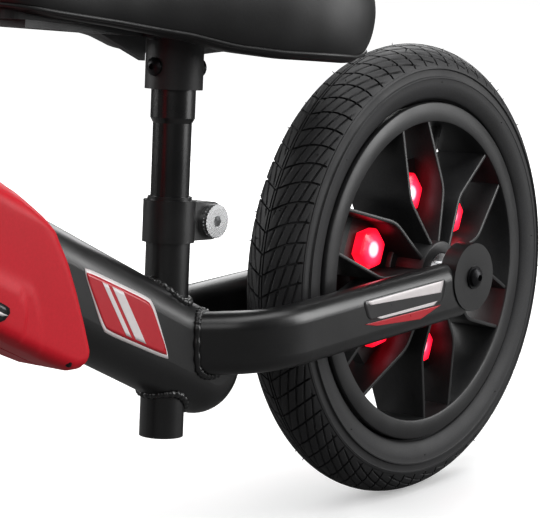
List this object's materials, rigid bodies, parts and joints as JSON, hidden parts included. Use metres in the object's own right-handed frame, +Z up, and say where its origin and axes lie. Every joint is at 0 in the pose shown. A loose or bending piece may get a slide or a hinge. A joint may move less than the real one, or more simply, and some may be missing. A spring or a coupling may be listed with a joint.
{
  "type": "balance bike",
  "caption": "Child's balance bike with a steel tube frame, moulded hollow-spoke wheels with red lamps, pneumatic tyres, adjustable saddle and raised handlebar.",
  "frame": {"origin": "on the ground, midway between the two wheels' contact points", "axes": "+X forwards, +Y to the rider's left, +Z up"},
  "size_m": [0.8859, 0.416, 0.5763],
  "materials": {
    "frame_paint": "satin black powder coat",
    "fork_paint": "satin black powder coat",
    "cover_plastic": "satin moulded red plastic",
    "badge_plastic": "dark grey plastic inlay",
    "black_steel": "black oxide fasteners",
    "bright_steel": "zinc plated steel",
    "tyre_rubber": "charcoal rubber with a block tread",
    "tube_rubber": "thin butyl rubber",
    "rim_plastic": "matte charcoal glass-filled nylon",
    "lens_plastic": "clear red lens",
    "board_plastic": "white circuit board and lamp",
    "magnet": "sintered magnet",
    "post_paint": "satin black powder coat",
    "saddle_plastic": "moulded black polypropylene",
    "saddle_vinyl": "smooth black vinyl",
    "stem_alloy": "black anodised alloy",
    "grip_rubber": "soft black rubber"
  },
  "bodies": {
    "frame": {"main_tube": "frame_paint", "seat_tube": "frame_paint", "head_tube": "frame_paint", "chainstay_left": "frame_paint", "chainstay_right": "frame_paint", "cover_left": "cover_plastic", "cover_right": "cover_plastic", "cover_screws": "black_steel", "cover_badges": "badge_plastic", "clamp_collar": "frame_paint", "clamp_bolt": "bright_steel", "clamp_nut": "bright_steel", "headset_upper_cup": "black_steel", "headset_lower_cup": "black_steel", "headset_balls": "bright_steel", "rear_axle": "bright_steel", "rear_axle_bolts": "black_steel", "rear_axle_spacers": "bright_steel", "rear_magnet_ring": "magnet"},
    "rear_wheel": {"rear_tyre": "tyre_rubber", "rear_inner_tube": "tube_rubber", "rear_wheel": "rim_plastic", "rear_bearings": "bright_steel", "rear_lenses": "lens_plastic", "rear_light_boards": "board_plastic", "rear_valve": "tube_rubber"},
    "seat": {"seat_post": "post_paint", "saddle_socket": "saddle_plastic", "saddle_bolt": "black_steel", "saddle_base": "saddle_plastic", "saddle_screws": "black_steel", "saddle_pad": "saddle_vinyl"},
    "fork": {"steerer": "fork_paint", "fork_crown": "fork_paint", "fork_blade_left": "fork_paint", "fork_blade_right": "fork_paint", "crown_race": "bright_steel", "headset_locknut": "black_steel", "front_axle": "bright_steel", "front_axle_bolts": "black_steel", "front_axle_spacers": "bright_steel", "front_magnet_ring": "magnet"},
    "front_wheel": {"front_tyre": "tyre_rubber", "front_inner_tube": "tube_rubber", "front_wheel": "rim_plastic", "front_bearings": "bright_steel", "front_lenses": "lens_plastic", "front_light_boards": "board_plastic", "front_valve": "tube_rubber"},
    "handlebar": {"stem": "stem_alloy", "stem_wedge": "bright_steel", "stem_bolt": "black_steel", "stem_cap": "stem_alloy", "stem_cap_bolts": "black_steel", "handlebar": "frame_paint", "grip_left": "grip_rubber", "grip_right": "grip_rubber"}
  },
  "joints": [
    {"name": "rear_wheel_spin", "type": "hinge", "parent": "frame", "child": "rear_wheel", "pos_m": [-0.295, 0, 0.148], "axis": [0, 1, 0], "continuous": true},
    {"name": "steering", "type": "hinge", "parent": "frame", "child": "fork", "pos_m": [0.27151, 0, 0.13945], "axis": [-0.342, 0, 0.9397], "range_deg": [-55, 55]},
    {"name": "front_wheel_spin", "type": "hinge", "parent": "fork", "child": "front_wheel", "pos_m": [0.295, 0, 0.148], "axis": [0, 1, 0], "continuous": true},
    {"name": "seat_height", "type": "slide", "parent": "frame", "child": "seat", "axis": [-0.0663, 0, 0.9978], "range_m": [-0.015, 0.06]},
    {"name": "bar_height", "type": "slide", "parent": "fork", "child": "handlebar", "axis": [-0.342, 0, 0.9397], "range_m": [0, 0.03]}
  ]
}
